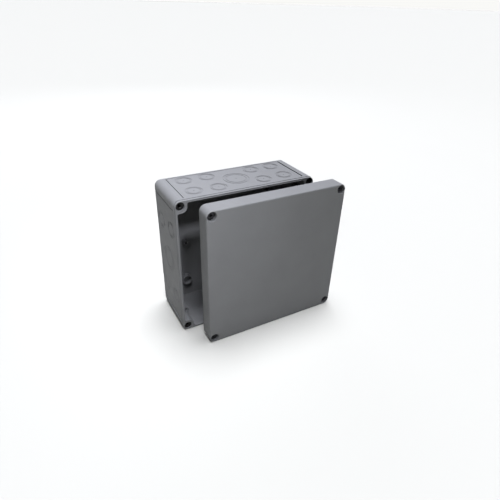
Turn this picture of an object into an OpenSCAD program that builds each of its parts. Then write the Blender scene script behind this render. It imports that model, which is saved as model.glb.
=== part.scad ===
// Surface-mounting junction box: a moulded base with knock-out cable entries, and a deep lid
// held by four captive corner screws. The lid stands beside the open base.
//
// Every module draws the box lying on its back: X to the right, Y up the wall, Z towards
// the front, with the back face at Z = 0. upright() stands it up, so that in the finished
// model Z is up, Y points at the wall, and the origin is the middle of the back face.

/* [Box] */
// Width of the base and of the lid
box_w = 182; // [170:1:220]
// Height of the base and of the lid
box_h = 180; // [170:1:220]
// Depth of the base, from the wall to its rim
base_d = 70.5; // [69:0.5:100]
// Depth of the lid
lid_d = 19.5; // [19:0.5:28]
// Radius of the four corners seen from the front
corner_r = 7.5; // [7:0.5:8]
// Thickness of the walls
wall = 2.8; // [2.6:0.1:3.0]
// Rounding of the base's back edge
back_edge_r = 2.4; // [1.5:0.1:3]
// Rounding of the lid's front edge
front_edge_r = 1.5; // [1:0.1:1.8]

/* [Corners] */
// Distance of each screw's axis from the two outer faces beside it
screw_inset = 6.5; // [6.4:0.1:6.6]
// How far the screw columns reach into the opening from the screw's axis
column_reach = 8; // [7.8:0.1:8.2]
// Rounding of the columns' inner corner
column_corner_r = 7; // [6:0.1:7.4]
// Radius that blends a column into the wall
column_blend_r = 2.2; // [2.1:0.1:2.4]

/* [Rim and seal] */
// Set-back of the rim's outer step, which leaves a shadow line under the lid
rim_step = 0.6; // [0.3:0.1:0.8]
// Depth of the rim's outer step
rim_step_d = 3.2; // [2:0.1:5]
// Width of the sealing bead along the opening
bead_w = 0.6; // [0.5:0.1:0.7]
// Height of the sealing bead over the rim
bead_h = 0.5; // [0.3:0.1:0.6]
// Width of the seal in the lid, outwards from the opening's edge
seal_out = 1.6; // [1.4:0.1:1.7]
// Width of the seal in the lid, inwards from the opening's edge
seal_in = 1.0; // [0.8:0.1:1.1]
// Depth of the channel that holds the seal
channel_d = 2.6; // [2:0.1:2.8]

/* [Side panels] */
// Distance of each panel's ends from the outer corner
panel_inset = 12.4; // [12:0.2:15]
// How far the panels lie below the outer faces
panel_depth = 0.4; // [0.2:0.1:0.8]
// Distance of the panels from the back face
panel_back = 4.5; // [3.5:0.5:5]
// Distance of the panels from the rim
panel_front = 6; // [5:0.5:8]
// Width of a knock-out's ring groove
ring_w = 0.9; // [0.6:0.1:1.2]
// Depth of a knock-out's ring groove
ring_d = 0.4; // [0.3:0.1:1.1]

/* [Fixings] */
// Distance between the wall-fixing holes across the box
fixing_w = 121; // [110:1:125]
// Distance between the wall-fixing holes up the box
fixing_h = 118; // [110:1:136]
// Diameter of the wall-fixing holes
fixing_hole_d = 5.2; // [4.2:0.1:6.2]
// Distance between the two rail pillars
rail_w = 119; // [112:1:126]
// Height of the rail pillars over the inside of the back
rail_pillar_h = 8; // [7:1:20]
// Depth of the plate pillars' front faces below the rim
plate_depth = 19; // [15:1:45]
// Diameter of the screw holes in the plate pillars
plate_hole_d = 4.2; // [3.6:0.1:4.6]
// Diameter of the screw holes in the rail pillars
rail_hole_d = 3.2; // [2.6:0.1:3.6]

/* [Lid screws] */
// Nominal diameter of the thread
screw_d = 4; // [3.5:0.1:4.2]
// Pitch of the thread
pitch = 0.7; // [0.5:0.1:0.8]
// Turns that drive a screw home
turns = 10; // [8:1:10]
// Diameter of the pockets in the lid
pocket_d = 10.6; // [10:0.1:10.8]
// Diameter of the screw's head
head_d = 9; // [8:0.1:9.4]
// Height of the screw's head
head_h = 5; // [4:0.1:5.2]

/* [Lid's place] */
// How far the lid stands to the right of the base
lid_aside = 21; // [15:1:40]
// Gap between the rim of the base and the back of the lid
lid_gap = 17.2; // [10:0.1:40]

/* [Hidden] */
$fn = 64;
SIDES = [[-1, 1], [1, 1], [-1, -1], [1, -1]];

plastic = [0.52, 0.53, 0.54];
seal_grey = [0.25, 0.26, 0.27];
cap_grey = [0.62, 0.63, 0.62];
dark_steel = [0.2, 0.2, 0.19];
black_steel = [0.12, 0.12, 0.13];

// How far a cutter runs past the face that it starts from
over = 1;
screw_x = box_w / 2 - screw_inset;
screw_y = box_h / 2 - screw_inset;
closed_d = base_d + lid_d;

// Outer and inner radius of the small and of the large knock-outs
SMALL = [10.4, 8.3];
LARGE = [16.4, 12.9];
// Knock-outs of the top and of the bottom panel: place along the panel, depth below the rim, radii
LEVEL_KNOCKOUTS = [
    [-60, 21.5, SMALL], [-30, 19.5, SMALL], [30, 19.5, SMALL], [60, 21.5, SMALL],
    [-60, 54, SMALL], [-30.5, 54, SMALL], [30.5, 54, SMALL], [60, 54, SMALL],
    [0, 34.5, LARGE]
];
// The same for the left and for the right panel
UPRIGHT_KNOCKOUTS = [
    [-47, 19.5, SMALL], [47, 19.5, SMALL], [-46, 53, SMALL], [46, 53, SMALL],
    [0, 35.5, LARGE]
];
pip_r = 0.7;
panel_corner_r = 1;
end_groove_w = 1.4;
end_groove_d = 1.1;

// Base
floor_t = 2.8;
back_pad_depth = 0.8;
back_pad_inset = 12;
back_pad_r = 9;
column_mouth_r = 5.1;
column_mouth_d = 3.2;

// Wall-fixing bosses and their caps
fixing_boss_r = 6.9;
fixing_boss_h = 7.5;
fixing_bore_r = 5.9;
cap_seat_r = 5;
cap_seat_z = 4;
fixing_floor_z = 2;
cap_gap = 0.1;
cap_rim_h = 0.8;
cap_dome_h = 0.6;

// Pillars inside the base
rail_pillar_r = 3.4;
plate_pillar_r = 3.6;
plate_pillar_inset_x = 11.8;
plate_pillar_inset_y = 16.2;
pillar_hole_depth = 8;

// Lid
rib_w = 0.9;
rib_set_back = 0.7;
pocket_floor_t = 3;
pocket_floor_z = base_d + pocket_floor_t;
pocket_lead = 0.5;
shank_hole_r = 2.6;

// Lid screws and their seals. A thread crest's points are shares of the thread's depth and pitch
screw_r = screw_d / 2;
travel = turns * pitch;
thread_depth = 0.5 * pitch;
CREST = [[0, 0.1], [1, 0.4], [1, 0.5], [0, 0.8]];
seal_h = 1.2;
seal_r = seal_h / 2;
seal_gap = 0.05;
neck_h = 3.2;
neck_r = screw_r + 0.15;
neck_lead = 0.3;
tip_lead = 0.5;
tip_in_lid = 0.3;
tip_z = base_d + tip_in_lid - travel;
head_under_z = pocket_floor_z + seal_h;
head_edge_r = 0.8;
recess_w = 1.1;
recess_l = 5.4;
recess_d = 2.4;
recess_tip_r = 0.4;
recess_mouth_r = 1.9;

// Flanged threaded inserts in the base's columns
insert_r = 3.6;
insert_flange_r = 4.9;
insert_top_depth = 2.2;
insert_bottom_depth = 13;
insert_top_z = base_d - insert_top_depth;
insert_bottom_z = base_d - insert_bottom_depth;
insert_gap = 0.05;
insert_lead = 0.5;
insert_room = 0.5;
KNURL_HEIGHTS = [2, 4.4, 6.8];
knurl_w = 1;
knurl_d = 0.4;

module upright() {
    rotate([90, 0, 0]) children();
}

module lid_place() {
    upright() translate([lid_aside, 0, lid_gap]) children();
}

module at_corner(i) {
    translate([SIDES[i][0] * screw_x, SIDES[i][1] * screw_y, 0]) children();
}

module rounded_rect(w, h, r) {
    square([w - 2 * r, h], center = true);
    square([w, h - 2 * r], center = true);
    for (s = SIDES) {
        translate([s[0] * (w / 2 - r), s[1] * (h / 2 - r)]) circle(r = r);
    }
}

module quarter_disc(r) {
    intersection() {
        circle(r = r);
        square(r);
    }
}

// A slab from Z = 0 to Z = t with its upper edge rounded by e
module soft_slab(w, h, r, t, e) {
    linear_extrude(t) rounded_rect(w - 2 * e, h - 2 * e, r - e);
    linear_extrude(t - e) rounded_rect(w, h, r);
    for (turn = [0, 180]) rotate(turn) {
        translate([w / 2 - e, h / 2 - r, t - e]) rotate([90, 0, 0])
            linear_extrude(h - 2 * r) quarter_disc(e);
        translate([-(w / 2 - r), h / 2 - e, t - e]) rotate([90, 0, 90])
            linear_extrude(w - 2 * r) quarter_disc(e);
        translate([w / 2 - r, h / 2 - r, t - e]) rotate_extrude(angle = 90)
            translate([r - e, 0]) quarter_disc(e);
        translate([-(w / 2 - r), h / 2 - r, t - e]) rotate(90) rotate_extrude(angle = 90)
            translate([r - e, 0]) quarter_disc(e);
    }
}

// The blend between a column and the wall above it, with the opening grown by g
module column_blend(g) {
    centre = [-column_reach - column_blend_r, screw_inset - wall - column_blend_r];
    difference() {
        translate(centre) square([column_reach + column_blend_r, wall + column_blend_r]);
        translate(centre) circle(r = column_blend_r + g);
    }
}

// A screw column's outline, with the box's own corner towards +X and +Y
module column(g) {
    reach = column_reach - g;
    round_r = column_corner_r - g;
    translate([-reach, round_r - reach]) square([reach + screw_inset, reach - round_r + screw_inset]);
    translate([round_r - reach, -reach]) square([reach - round_r + screw_inset, reach + screw_inset]);
    translate([round_r - reach, round_r - reach]) circle(r = round_r);
    column_blend(g);
    mirror([1, -1]) column_blend(g);
}

// Turns what is drawn for the top right corner over to the corner s
module mirror_to(s) {
    mirror([s[0] < 0 ? 1 : 0, 0]) mirror([0, s[1] < 0 ? 1 : 0]) children();
}

// The opening's outline, grown outwards by g, with the four columns left standing
module opening(g) {
    difference() {
        square([box_w - 2 * (wall - g), box_h - 2 * (wall - g)], center = true);
        for (s = SIDES) {
            translate([s[0] * screw_x, s[1] * screw_y]) mirror_to(s) column(g);
        }
    }
}

module ring_groove(r) {
    difference() {
        cylinder(r = r, h = ring_d + over);
        translate([0, 0, -over]) cylinder(r = r - ring_w, h = ring_d + 3 * over);
    }
}

// Cuts one side panel, a groove at each end of it and its knock-outs, with the panel's outer face
// at Z = 0 and its rim towards +Y
module panel_cut(length, knockouts) {
    panel_w = length - 2 * panel_inset;
    panel_h = base_d - panel_back - panel_front;
    translate([0, -panel_front - panel_h / 2, -panel_depth]) {
        linear_extrude(panel_depth + over) rounded_rect(panel_w, panel_h, panel_corner_r);
        for (end = [-1, 1]) {
            translate([end * (panel_w - end_groove_w) / 2, 0, 0])
                cube([end_groove_w, panel_h - 2 * panel_corner_r, 2 * end_groove_d], center = true);
        }
    }
    for (k = knockouts) {
        translate([k[0], -k[1], -panel_depth - ring_d]) {
            for (r = k[2]) ring_groove(r);
            cylinder(r = pip_r, h = ring_d + over);
        }
    }
}

// Puts a side panel's cutter on the side that faces the angle a
module on_side(a) {
    across = (a == 0 || a == 180) ? box_w : box_h;
    rotate(a) translate([across / 2, 0, base_d]) rotate([90, 0, 90]) children();
}

module fixing_boss_places() {
    for (s = SIDES) {
        translate([s[0] * fixing_w / 2, s[1] * fixing_h / 2, 0]) children();
    }
}

module plate_pillar_places() {
    for (s = SIDES) {
        translate([s[0] * (box_w / 2 - plate_pillar_inset_x), s[1] * (box_h / 2 - plate_pillar_inset_y), 0])
            children();
    }
}

module rail_pillar_places() {
    for (side = [-1, 1]) {
        translate([side * rail_w / 2, 0, 0]) children();
    }
}

module base_shell() {
    difference() {
        translate([0, 0, base_d]) mirror([0, 0, 1])
            soft_slab(box_w, box_h, corner_r, base_d, back_edge_r);
        translate([0, 0, floor_t]) linear_extrude(base_d) opening(0);
        translate([0, 0, base_d - rim_step_d]) linear_extrude(rim_step_d + over) difference() {
            square([box_w + 2 * over, box_h + 2 * over], center = true);
            rounded_rect(box_w - 2 * rim_step, box_h - 2 * rim_step, corner_r - rim_step);
        }
        for (a = [0, 180]) on_side(a) panel_cut(box_h, UPRIGHT_KNOCKOUTS);
        for (a = [90, 270]) on_side(a) panel_cut(box_w, LEVEL_KNOCKOUTS);
        translate([0, 0, -over]) linear_extrude(back_pad_depth + over) difference() {
            rounded_rect(box_w - 2 * back_pad_inset, box_h - 2 * back_pad_inset, corner_r);
            fixing_boss_places() circle(r = back_pad_r);
        }
    }
}

module base_box() {
    color(plastic) upright() difference() {
        union() {
            base_shell();
            translate([0, 0, base_d - over]) linear_extrude(bead_h + over) difference() {
                opening(bead_w);
                opening(0);
            }
            fixing_boss_places() cylinder(r = fixing_boss_r, h = floor_t + fixing_boss_h);
            rail_pillar_places() translate([0, 0, back_pad_depth])
                cylinder(r = rail_pillar_r, h = floor_t - back_pad_depth + rail_pillar_h);
            plate_pillar_places() translate([0, 0, floor_t / 2])
                cylinder(r = plate_pillar_r, h = base_d - plate_depth - floor_t / 2);
        }
        for (i = [0 : 3]) at_corner(i) {
            translate([0, 0, base_d - column_mouth_d])
                cylinder(r = column_mouth_r, h = column_mouth_d + 2 * over);
            translate([0, 0, insert_bottom_z - insert_room]) cylinder(r = insert_r, h = base_d);
        }
        fixing_boss_places() {
            translate([0, 0, -over]) cylinder(r = fixing_hole_d / 2, h = base_d);
            translate([0, 0, fixing_floor_z]) cylinder(r = cap_seat_r, h = base_d);
            translate([0, 0, cap_seat_z]) cylinder(r = fixing_bore_r, h = base_d);
        }
        rail_pillar_places() translate([0, 0, floor_t + rail_pillar_h - pillar_hole_depth])
            cylinder(r = rail_hole_d / 2, h = base_d);
        plate_pillar_places() translate([0, 0, base_d - plate_depth - pillar_hole_depth])
            cylinder(r = plate_hole_d / 2, h = base_d);
    }
}

module lid() {
    color(plastic) lid_place() difference() {
        translate([0, 0, base_d]) soft_slab(box_w, box_h, corner_r, lid_d, front_edge_r);
        translate([0, 0, base_d - over]) linear_extrude(lid_d - wall + over)
            opening(-seal_in - rib_w);
        translate([0, 0, base_d - over]) linear_extrude(rib_set_back + over) opening(seal_out);
        translate([0, 0, base_d - over]) linear_extrude(channel_d + over) difference() {
            opening(seal_out);
            opening(-seal_in);
        }
        for (i = [0 : 3]) at_corner(i) {
            translate([0, 0, pocket_floor_z]) cylinder(r = pocket_d / 2, h = lid_d);
            translate([0, 0, closed_d - pocket_lead])
                cylinder(r1 = pocket_d / 2, r2 = pocket_d / 2 + 2 * pocket_lead, h = 2 * pocket_lead);
            translate([0, 0, base_d - over]) cylinder(r = shank_hole_r, h = lid_d);
        }
    }
}

module lid_gasket() {
    color(seal_grey) lid_place() translate([0, 0, base_d + bead_h])
        linear_extrude(channel_d - bead_h) difference() {
            opening(seal_out);
            opening(-seal_in);
        }
}

// Half of the screw's outline: tip, thread crests, neck and head, from the tip at Y = 0
module screw_outline() {
    length = head_under_z - tip_z;
    thread_l = length - neck_h;
    root_r = screw_r - thread_depth;
    crests = floor((thread_l - tip_lead) / pitch);
    points = concat(
        [[0, 0], [root_r - tip_lead, 0], [root_r, tip_lead]],
        [for (i = [0 : crests - 1], p = CREST)
            [root_r + p[0] * thread_depth, tip_lead + (i + p[1]) * pitch]],
        [[root_r, thread_l], [neck_r, thread_l + neck_lead], [neck_r, length], [0, length]]
    );
    polygon(points);
    translate([0, length]) square([head_d / 2 - head_edge_r, head_h]);
    translate([0, length]) square([head_d / 2, head_h - head_edge_r]);
    translate([head_d / 2 - head_edge_r, length + head_h - head_edge_r]) quarter_disc(head_edge_r);
}

module lid_screw(i) {
    color(black_steel) lid_place() at_corner(i) translate([0, 0, travel]) difference() {
        translate([0, 0, tip_z]) rotate_extrude() screw_outline();
        translate([0, 0, head_under_z + head_h]) {
            for (turn = [0, 90]) rotate(turn)
                cube([recess_l, recess_w, 2 * recess_d], center = true);
            translate([0, 0, -recess_d])
                cylinder(r1 = recess_tip_r, r2 = 2 * recess_mouth_r - recess_tip_r, h = 2 * recess_d);
        }
    }
}

module screw_seal(i) {
    color(seal_grey) lid_place() at_corner(i) translate([0, 0, pocket_floor_z + seal_r + travel])
        rotate_extrude() translate([neck_r + seal_gap + seal_r, 0]) circle(r = seal_r);
}

module thread_insert(i) {
    color(dark_steel) upright() at_corner(i) difference() {
        union() {
            translate([0, 0, insert_bottom_z])
                cylinder(r = insert_r, h = insert_top_z - insert_bottom_z);
            translate([0, 0, base_d - column_mouth_d])
                cylinder(r = insert_flange_r, h = column_mouth_d - insert_top_depth);
        }
        translate([0, 0, insert_bottom_z - over]) cylinder(r = screw_r + insert_gap, h = base_d);
        translate([0, 0, insert_top_z - insert_lead]) cylinder(
            r1 = screw_r + insert_gap, r2 = screw_r + insert_gap + 2 * insert_lead, h = 2 * insert_lead);
        for (h = KNURL_HEIGHTS) translate([0, 0, insert_bottom_z + h]) difference() {
            cylinder(r = insert_r + over, h = knurl_w);
            translate([0, 0, -over]) cylinder(r = insert_r - knurl_d, h = knurl_w + 2 * over);
        }
    }
}

module fixing_cap(i) {
    cap_r = fixing_bore_r - cap_gap;
    dome_r = (pow(cap_r, 2) + pow(cap_dome_h, 2)) / (2 * cap_dome_h);
    color(cap_grey) upright()
        translate([SIDES[i][0] * fixing_w / 2, SIDES[i][1] * fixing_h / 2, cap_seat_z])
        rotate_extrude() {
            square([cap_r, cap_rim_h]);
            intersection() {
                translate([0, cap_rim_h + cap_dome_h - dome_r]) circle(r = dome_r, $fn = 128);
                translate([0, cap_rim_h / 2]) square([cap_r, cap_rim_h + cap_dome_h]);
            }
        }
}

base_box();
lid();
lid_gasket();
lid_screw(0);  // lid_screw_top_left
lid_screw(1);  // lid_screw_top_right
lid_screw(2);  // lid_screw_bottom_left
lid_screw(3);  // lid_screw_bottom_right
screw_seal(0);  // screw_seal_top_left
screw_seal(1);  // screw_seal_top_right
screw_seal(2);  // screw_seal_bottom_left
screw_seal(3);  // screw_seal_bottom_right
thread_insert(0);  // thread_insert_top_left
thread_insert(1);  // thread_insert_top_right
thread_insert(2);  // thread_insert_bottom_left
thread_insert(3);  // thread_insert_bottom_right
fixing_cap(0);  // fixing_cap_top_left
fixing_cap(1);  // fixing_cap_top_right
fixing_cap(2);  // fixing_cap_bottom_left
fixing_cap(3);  // fixing_cap_bottom_right
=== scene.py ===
import math

import bpy
from mathutils import Euler, Matrix, Vector, noise


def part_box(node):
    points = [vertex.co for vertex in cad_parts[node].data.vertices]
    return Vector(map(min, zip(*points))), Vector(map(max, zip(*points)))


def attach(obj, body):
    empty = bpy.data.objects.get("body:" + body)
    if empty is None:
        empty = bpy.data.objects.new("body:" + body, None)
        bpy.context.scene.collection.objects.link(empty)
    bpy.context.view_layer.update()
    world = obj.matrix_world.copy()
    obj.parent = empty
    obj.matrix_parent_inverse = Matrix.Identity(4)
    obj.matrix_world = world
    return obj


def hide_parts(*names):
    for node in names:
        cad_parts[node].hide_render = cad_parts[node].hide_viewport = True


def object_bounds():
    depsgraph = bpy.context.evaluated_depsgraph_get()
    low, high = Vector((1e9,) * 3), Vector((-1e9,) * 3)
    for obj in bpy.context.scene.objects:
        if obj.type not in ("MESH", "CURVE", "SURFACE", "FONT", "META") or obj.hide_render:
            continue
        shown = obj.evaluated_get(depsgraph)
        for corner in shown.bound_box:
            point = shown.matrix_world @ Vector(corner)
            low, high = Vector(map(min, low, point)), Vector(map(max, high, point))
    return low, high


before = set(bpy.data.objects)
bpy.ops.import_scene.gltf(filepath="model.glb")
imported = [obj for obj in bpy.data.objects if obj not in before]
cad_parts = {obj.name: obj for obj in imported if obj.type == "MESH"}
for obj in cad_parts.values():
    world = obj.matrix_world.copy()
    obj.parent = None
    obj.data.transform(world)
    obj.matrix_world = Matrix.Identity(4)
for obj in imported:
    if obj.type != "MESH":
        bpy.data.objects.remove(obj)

CAD_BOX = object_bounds()
CORNERS = ("top_left", "top_right", "bottom_left", "bottom_right")
MM = 0.001


# ---- Materials ----

class Graph:
    """A material and its node tree, with short calls for adding and joining nodes."""

    def __init__(self, name, base_color, roughness, metallic=0.0):
        self.material = bpy.data.materials.new(name)
        self.material.use_nodes = True
        self.material.diffuse_color = (*base_color, 1.0)
        self.tree = self.material.node_tree
        self.shader = self.tree.nodes["Principled BSDF"]
        self.set(self.shader, {"Base Color": (*base_color, 1.0), "Roughness": roughness,
                               "Metallic": metallic})
        self.place = self.node("TexCoord").outputs["Object"]

    def set(self, node, values):
        """Gives a node's inputs their values, and joins those whose value is another node's output."""
        for socket, value in values.items():
            if isinstance(value, bpy.types.NodeSocket):
                self.tree.links.new(value, node.inputs[socket])
            else:
                node.inputs[socket].default_value = value

    def node(self, kind, values=None, **settings):
        made = self.tree.nodes.new("ShaderNode" + kind)
        for name, value in settings.items():
            setattr(made, name, value)
        self.set(made, values or {})
        return made

    def noise(self, size_mm, detail=2, roughness=0.5, place=None):
        """A noise from 0 to 1 whose blobs are about size_mm wide."""
        values = {"Scale": 1 / (size_mm * MM), "Detail": detail, "Roughness": roughness,
                  "Vector": place or self.place}
        return self.node("TexNoise", values).outputs["Fac"]

    def between(self, factor, low, high, start=0.3, end=0.7):
        """Carries factor from start..end over to low..high."""
        values = {"Value": factor, "From Min": start, "From Max": end, "To Min": low, "To Max": high}
        return self.node("MapRange", values).outputs["Result"]

    def blend_colors(self, factor, first, second):
        """Mixes two colours, each an RGB tuple or another node's output."""
        ends = [end if isinstance(end, bpy.types.NodeSocket) else (*end, 1.0) for end in (first, second)]
        values = {"Factor": factor, "A": ends[0], "B": ends[1]}
        return self.node("Mix", values, data_type="RGBA").outputs["Result"]

    def bump(self, height, depth_mm, strength=1.0, normal=None):
        values = {"Height": height, "Distance": depth_mm * MM, "Strength": strength}
        if normal is not None:
            values["Normal"] = normal
        return self.node("Bump", values).outputs["Normal"]


def shade(color, factor):
    return tuple(c * factor for c in color)


def moulded_plastic(name, color):
    """Mid-grey moulded plastic: fine spark-eroded grain, faint flow clouds and a satin sheen."""
    g = Graph(name, color, 0.45)
    clouds = g.noise(34, detail=3)
    speck = g.noise(1.1, detail=1)
    tone = g.blend_colors(g.between(clouds, 0, 1), shade(color, 0.965), shade(color, 1.035))
    tone = g.blend_colors(g.between(speck, 0, 0.35), tone, shade(color, 1.06))
    rough = g.between(g.noise(9, detail=3), 0.56, 0.66)
    grain = g.noise(0.32, roughness=0.6)
    sink = g.noise(26, detail=1)
    normal = g.bump(sink, depth_mm=0.10, strength=0.5)
    normal = g.bump(grain, depth_mm=0.012, strength=0.55, normal=normal)
    g.set(g.shader, {"Base Color": tone, "Roughness": rough, "Normal": normal, "Specular IOR Level": 0.1})
    return g.material


def seal_foam(name, color):
    """Dull black foam with a skin of small closed cells."""
    g = Graph(name, color, 0.85)
    cell_mm = 0.45
    cells = g.node("TexVoronoi", {"Vector": g.place, "Scale": 1 / (cell_mm * MM)}).outputs["Distance"]
    tone = g.blend_colors(g.between(g.noise(3), 0, 1), shade(color, 0.8), shade(color, 1.3))
    g.set(g.shader, {"Base Color": tone, "Normal": g.bump(cells, depth_mm=0.08, strength=0.7)})
    return g.material


def rubber(name, color):
    """Black rubber, mottled and slightly uneven in its sheen."""
    g = Graph(name, color, 0.6)
    tone = g.blend_colors(g.between(g.noise(1.5), 0, 1), shade(color, 0.8), shade(color, 1.25))
    g.set(g.shader, {"Base Color": tone, "Roughness": g.between(g.noise(2.5), 0.5, 0.7),
                     "Normal": g.bump(g.noise(0.25), depth_mm=0.01, strength=0.6)})
    return g.material


def turned_metal(name, color, roughness):
    """Satin metal with fine turning marks round the screws' axes, which run along Y."""
    g = Graph(name, color, roughness, metallic=1.0)
    squeezed = g.node("Mapping", {"Vector": g.place, "Scale": (0.15, 1.0, 0.15)}).outputs["Vector"]
    marks = g.noise(0.12, place=squeezed)
    tone = g.blend_colors(g.between(g.noise(1.8), 0, 1), shade(color, 0.86), shade(color, 1.08))
    g.set(g.shader, {"Base Color": tone, "Roughness": g.between(marks, roughness - 0.07, roughness + 0.08),
                     "Normal": g.bump(marks, depth_mm=0.01, strength=0.4)})
    return g.material


def dress(nodes, material):
    """Gives CAD nodes a material."""
    for name in nodes:
        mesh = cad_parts[name].data
        mesh.materials.clear()
        mesh.materials.append(material)


def every(kind):
    """The names of the four nodes of one kind, one at each corner."""
    return [f"{kind}_{corner}" for corner in CORNERS]


dress(["base_box", "lid"], moulded_plastic("moulded_plastic", (0.149, 0.152, 0.152)))
dress(every("lid_screw"), turned_metal("screw_black", (0.050, 0.050, 0.054), 0.42))
dress(every("screw_seal"), rubber("seal_rubber", (0.020, 0.020, 0.021)))
dress(every("thread_insert"), turned_metal("insert_steel", (0.035, 0.035, 0.034), 0.5))
dress(every("fixing_cap"), moulded_plastic("cap_plastic", (0.12, 0.122, 0.123)))


# ---- The foamed seal in the lid's channel ----

# The opening's outline, in mm, as the CAD model has it. Its straight sides lie WALL inside the box's sides,
# which are SCREW_INSET from the screws' axes. Round each column it passes COLUMN_REACH from the screw's axis
WALL = 2.8
COLUMN_REACH = 8.0
COLUMN_CORNER = 7.0
COLUMN_BLEND = 2.2
SCREW_INSET = 6.5
# The seal, in mm. Its middle line lies SEAL_OUT outside the opening's edge, and its skin sinks by up to twice
# SEAL_UNEVEN below the CAD ring's face
SEAL_OUT = 0.3
SEAL_HALF_WIDTH = 1.25
SEAL_CROWN = 0.65
SEAL_UNEVEN = 0.05
SEAL_UNEVEN_SIZE = 2.5
SEAL_STEP = 1.5
CROWN_POINTS = 11


def arc(centre, radius, start, end, steps=8):
    """Points along an arc, from one angle to another in degrees."""
    angles = [math.radians(start + (end - start) * i / steps) for i in range(steps + 1)]
    return [(centre[0] + radius * math.cos(a), centre[1] + radius * math.sin(a)) for a in angles]


def seal_corner():
    """The seal's middle line round the top right column, clockwise, seen from its screw's axis."""
    reach, corner = COLUMN_REACH - SEAL_OUT, COLUMN_CORNER - SEAL_OUT
    far, near = -COLUMN_REACH - COLUMN_BLEND, SCREW_INSET - WALL - COLUMN_BLEND
    return (arc((far, near), COLUMN_BLEND + SEAL_OUT, 90, 0)
            + arc((corner - reach, corner - reach), corner, 180, 270)
            + arc((near, far), COLUMN_BLEND + SEAL_OUT, 90, 0))


def seal_line():
    """The whole closed middle line, in metres, with a point at least every SEAL_STEP."""
    turns = {"top_right": lambda x, z: (x, z), "bottom_right": lambda x, z: (z, -x),
             "bottom_left": lambda x, z: (-x, -z), "top_left": lambda x, z: (-z, x)}
    corners = []
    for corner, turn in turns.items():
        low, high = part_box(f"lid_screw_{corner}")
        axis = Vector(((low.x + high.x) / 2, (low.z + high.z) / 2))
        corners += [axis + Vector(turn(*point)) * MM for point in seal_corner()]
    line = []
    for here, after in zip(corners, corners[1:] + corners[:1]):
        pieces = max(1, math.ceil((after - here).length / (SEAL_STEP * MM)))
        line += [here.lerp(after, i / pieces) for i in range(pieces)]
    return line


def make_seal():
    """A crowned strip of foam with a slightly uneven skin, in place of the plain CAD ring."""
    low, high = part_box("lid_gasket")
    line = seal_line()
    angles = [math.pi * i / (CROWN_POINTS - 1) for i in range(CROWN_POINTS)]
    half = SEAL_HALF_WIDTH * MM
    section = [(half * math.cos(a), high.y - SEAL_CROWN * (1 - math.sin(a)) * MM) for a in angles]
    section += [(-half, low.y), (half, low.y)]
    verts = []
    for i, point in enumerate(line):
        ahead = (line[(i + 1) % len(line)] - line[i - 1]).normalized()
        outwards = Vector((-ahead.y, ahead.x))
        for k, (across, y) in enumerate(section):
            place = point + outwards * across
            sunk = 0
            if k < CROWN_POINTS:
                sunk = noise.noise(Vector((place.x, y, place.y)) / (SEAL_UNEVEN_SIZE * MM)) - 1
            verts.append((place.x, y + sunk * SEAL_UNEVEN * MM, place.y))
    around = len(section)
    faces = []
    for i in range(len(line)):
        this, following = i * around, (i + 1) % len(line) * around
        for k in range(around):
            after = (k + 1) % around
            faces.append((this + k, this + after, following + after, following + k))
    mesh = bpy.data.meshes.new("foam_seal")
    mesh.from_pydata(verts, [], faces)
    mesh.update()
    mesh.shade_smooth()
    seal = bpy.data.objects.new("foam_seal", mesh)
    bpy.context.scene.collection.objects.link(seal)
    mesh.materials.append(seal_foam("seal_foam", (0.030, 0.031, 0.034)))
    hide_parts("lid_gasket")
    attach(seal, "lid")


make_seal()


# ---- Stage, light and camera ----

FLOOR_Z = CAD_BOX[0].z
FLOOR_HALF = 60.0
FLOOR_COLOR = (0.420, 0.420, 0.385, 1.0)
BACKDROP_COLOR = (0.95, 0.95, 0.93, 1.0)
DARK_COLOR = (0.03, 0.03, 0.03, 1.0)
# How high the white band at the horizon is at full strength, and where it has faded out, as the height of a
# direction of length 1
BAND_FULL, BAND_END = 0.06, 0.16


def make_floor():
    mesh = bpy.data.meshes.new("floor")
    corners = [(-FLOOR_HALF, -FLOOR_HALF), (FLOOR_HALF, -FLOOR_HALF),
               (FLOOR_HALF, FLOOR_HALF), (-FLOOR_HALF, FLOOR_HALF)]
    mesh.from_pydata([(x, y, FLOOR_Z) for x, y in corners], [], [(0, 1, 2, 3)])
    floor = bpy.data.objects.new("floor", mesh)
    bpy.context.scene.collection.objects.link(floor)
    paper = bpy.data.materials.new("pale_paper")
    paper.use_nodes = True
    shader = paper.node_tree.nodes["Principled BSDF"]
    shader.inputs["Base Color"].default_value = FLOOR_COLOR
    shader.inputs["Roughness"].default_value = 0.9
    mesh.materials.append(paper)


def make_world():
    """A dark studio with a white band at the horizon, where the floor's paper sweeps up behind the object.

    That is what lights the object. The camera itself sees pale paper in every direction.
    """
    world = bpy.data.worlds.new("studio")
    world.use_nodes = True
    bpy.context.scene.world = world
    tree = world.node_tree
    background = tree.nodes["Background"]
    direction = tree.nodes.new("ShaderNodeTexCoord")
    split = tree.nodes.new("ShaderNodeSeparateXYZ")
    ramp = tree.nodes.new("ShaderNodeValToRGB")
    tree.links.new(direction.outputs["Generated"], split.inputs["Vector"])
    tree.links.new(split.outputs["Z"], ramp.inputs["Fac"])
    path = tree.nodes.new("ShaderNodeLightPath")
    seen = tree.nodes.new("ShaderNodeMix")
    seen.data_type = "RGBA"
    tree.links.new(path.outputs["Is Camera Ray"], seen.inputs["Factor"])
    tree.links.new(ramp.outputs["Color"], seen.inputs["A"])
    seen.inputs["B"].default_value = BACKDROP_COLOR
    tree.links.new(seen.outputs["Result"], background.inputs["Color"])
    stops = ((BAND_FULL, BACKDROP_COLOR), (BAND_END, DARK_COLOR))
    for element, (position, color) in zip(ramp.color_ramp.elements, stops):
        element.position = position
        element.color = color


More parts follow.
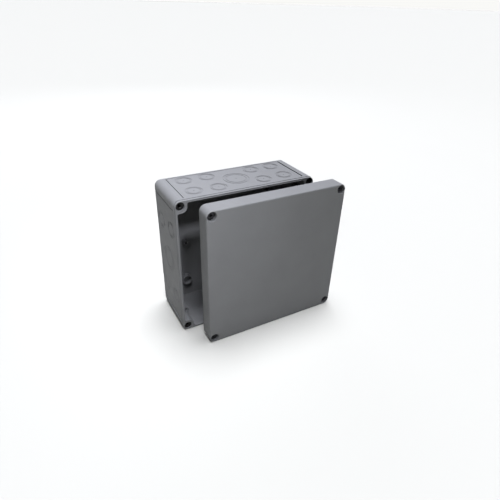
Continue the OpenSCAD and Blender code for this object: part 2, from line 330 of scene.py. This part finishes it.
def place_lamp(name, light, place, target=(0.0, 0.0, 0.0)):
    lamp = bpy.data.objects.new(name, light)
    lamp.location = place
    lamp.rotation_euler = (Vector(target) - Vector(place)).to_track_quat("-Z", "Y").to_euler()
    bpy.context.scene.collection.objects.link(lamp)


def make_overhead(name, place, spread, strength, color):
    """Far soft light that falls on everything alike; its softness is the angle that it spans."""
    light = bpy.data.lights.new(name, "SUN")
    light.angle = math.radians(spread)
    light.energy = strength
    light.color = color
    place_lamp(name, light, place)


def make_softbox(name, place, size, watts, color):
    light = bpy.data.lights.new(name, "AREA")
    light.shape = "RECTANGLE"
    light.size, light.size_y = size
    light.energy = watts
    light.color = color
    place_lamp(name, light, place)


SPOT_RADIUS = 0.08


def make_spot(name, place, target, cone, watts, color):
    """A spot with a fully feathered edge, so that it fades across the lid."""
    light = bpy.data.lights.new(name, "SPOT")
    light.spot_size = math.radians(cone)
    light.spot_blend = 1.0
    light.shadow_soft_size = SPOT_RADIUS
    light.energy = watts
    light.color = color
    place_lamp(name, light, place, target)


# The camera, solved together with the box's proportions: angles in degrees, lens and film in mm
CAMERA_AT = (-0.2140, -0.4532, 0.2741)
CAMERA_PITCH_DOWN = 31.37
CAMERA_YAW_RIGHT = 29.56
CAMERA_ROLL = 1.79
CAMERA_LENS = 29.47
CAMERA_FILM_WIDTH = 36.0


def make_camera():
    data = bpy.data.cameras.new("camera")
    data.lens = CAMERA_LENS
    data.sensor_width = CAMERA_FILM_WIDTH
    data.clip_start, data.clip_end = 0.01, 200.0
    camera = bpy.data.objects.new("camera", data)
    camera.location = CAMERA_AT
    facing = Euler((math.radians(90 - CAMERA_PITCH_DOWN), 0, math.radians(-CAMERA_YAW_RIGHT))).to_matrix()
    roll = Matrix.Rotation(math.radians(CAMERA_ROLL), 3, "Z")
    camera.rotation_euler = (facing @ roll).to_euler()
    bpy.context.scene.collection.objects.link(camera)
    bpy.context.scene.camera = camera


COOL = (0.96, 0.97, 1.06)
COOLER = (0.93, 0.93, 1.1)

make_floor()
make_world()
make_overhead("overhead", (0.10, 0.06, 0.99), spread=34, strength=6.5, color=COOL)
make_overhead("front_top", (-0.12, -0.44, 0.87), spread=7, strength=0.75, color=COOL)
make_spot("corner_spot", (-0.15, -1.1, 1.1), (-0.10, -0.08, 0.12), cone=12, watts=66, color=COOL)
make_spot("high_spot", (-0.42, -0.95, 1.3), (-0.10, -0.09, 0.04), cone=17, watts=22, color=COOL)
make_softbox("back_sheen", (0.30, 1.25, 0.72), (0.9, 0.7), watts=3.4, color=COOLER)
make_camera()
bpy.context.scene.view_settings.view_transform = "Standard"
